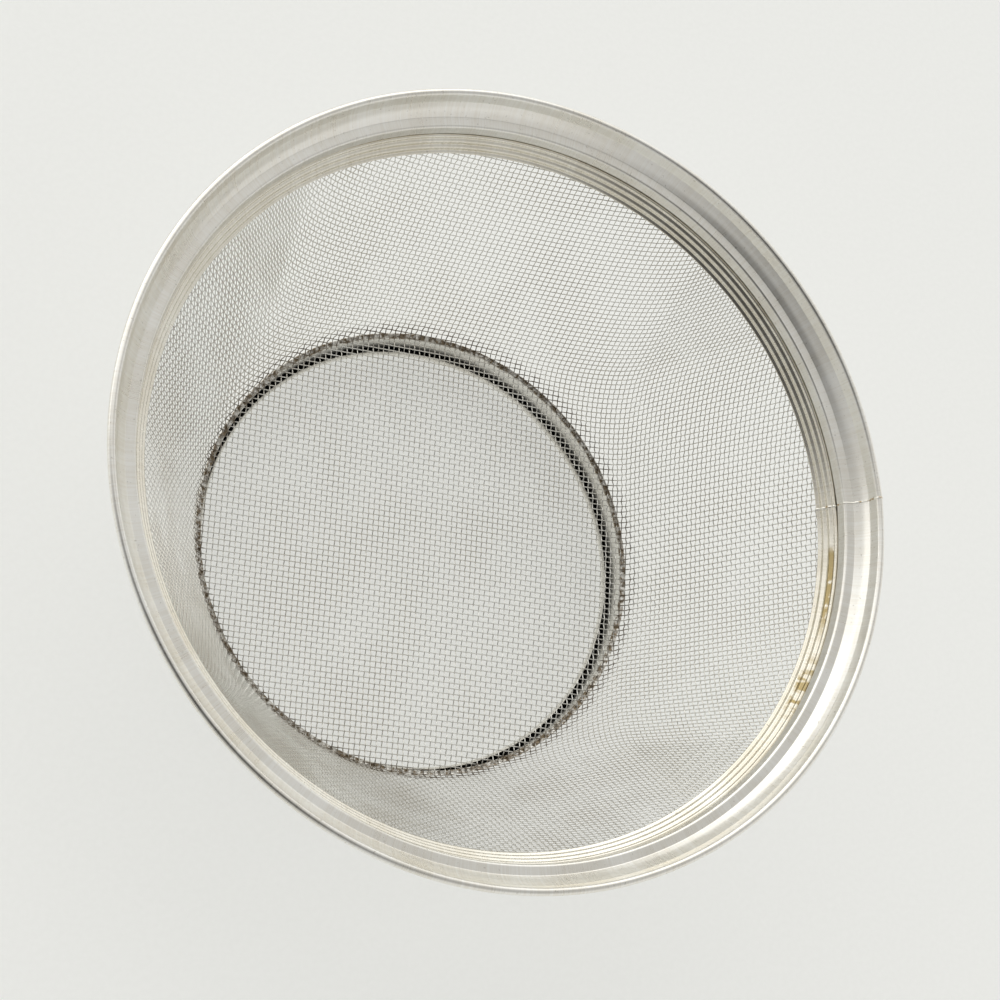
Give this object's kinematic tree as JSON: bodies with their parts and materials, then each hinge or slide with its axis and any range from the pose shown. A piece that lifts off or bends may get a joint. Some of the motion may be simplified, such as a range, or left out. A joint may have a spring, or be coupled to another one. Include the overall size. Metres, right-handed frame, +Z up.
{
  "type": "soil sieve",
  "caption": "Round steel soil sieve: a woven-wire basket with a flat floor and tapered wall, clamped in a rolled and flanged rim, standing on a low foot ring.",
  "frame": {"origin": "on the ground plane, under the middle of the foot ring", "axes": "+Z up along the sieve's axis, out of its mouth; +X and +Y along the cloth's two sets of wires; the strips' weld seam lies 5.6 degrees round from +X towards +Y"},
  "size_m": [0.3, 0.3, 0.1218],
  "materials": {
    "rim_steel": "bright rolled stainless sheet, satin on the flange",
    "clamp_steel": "bright rolled stainless sheet with yellow-brown heat marks near the seam",
    "weld_steel": "rough fused weld bead",
    "wire_cloth": "drawn stainless wire, plain weave",
    "foot_steel": "rolled stainless sheet"
  },
  "bodies": {
    "root": {"rim_frame": "rim_steel", "rim_weld": "weld_steel", "clamp_ring": "clamp_steel", "clamp_weld": "weld_steel", "mesh_basket": "wire_cloth", "foot_ring": "foot_steel"}
  },
  "joints": []
}
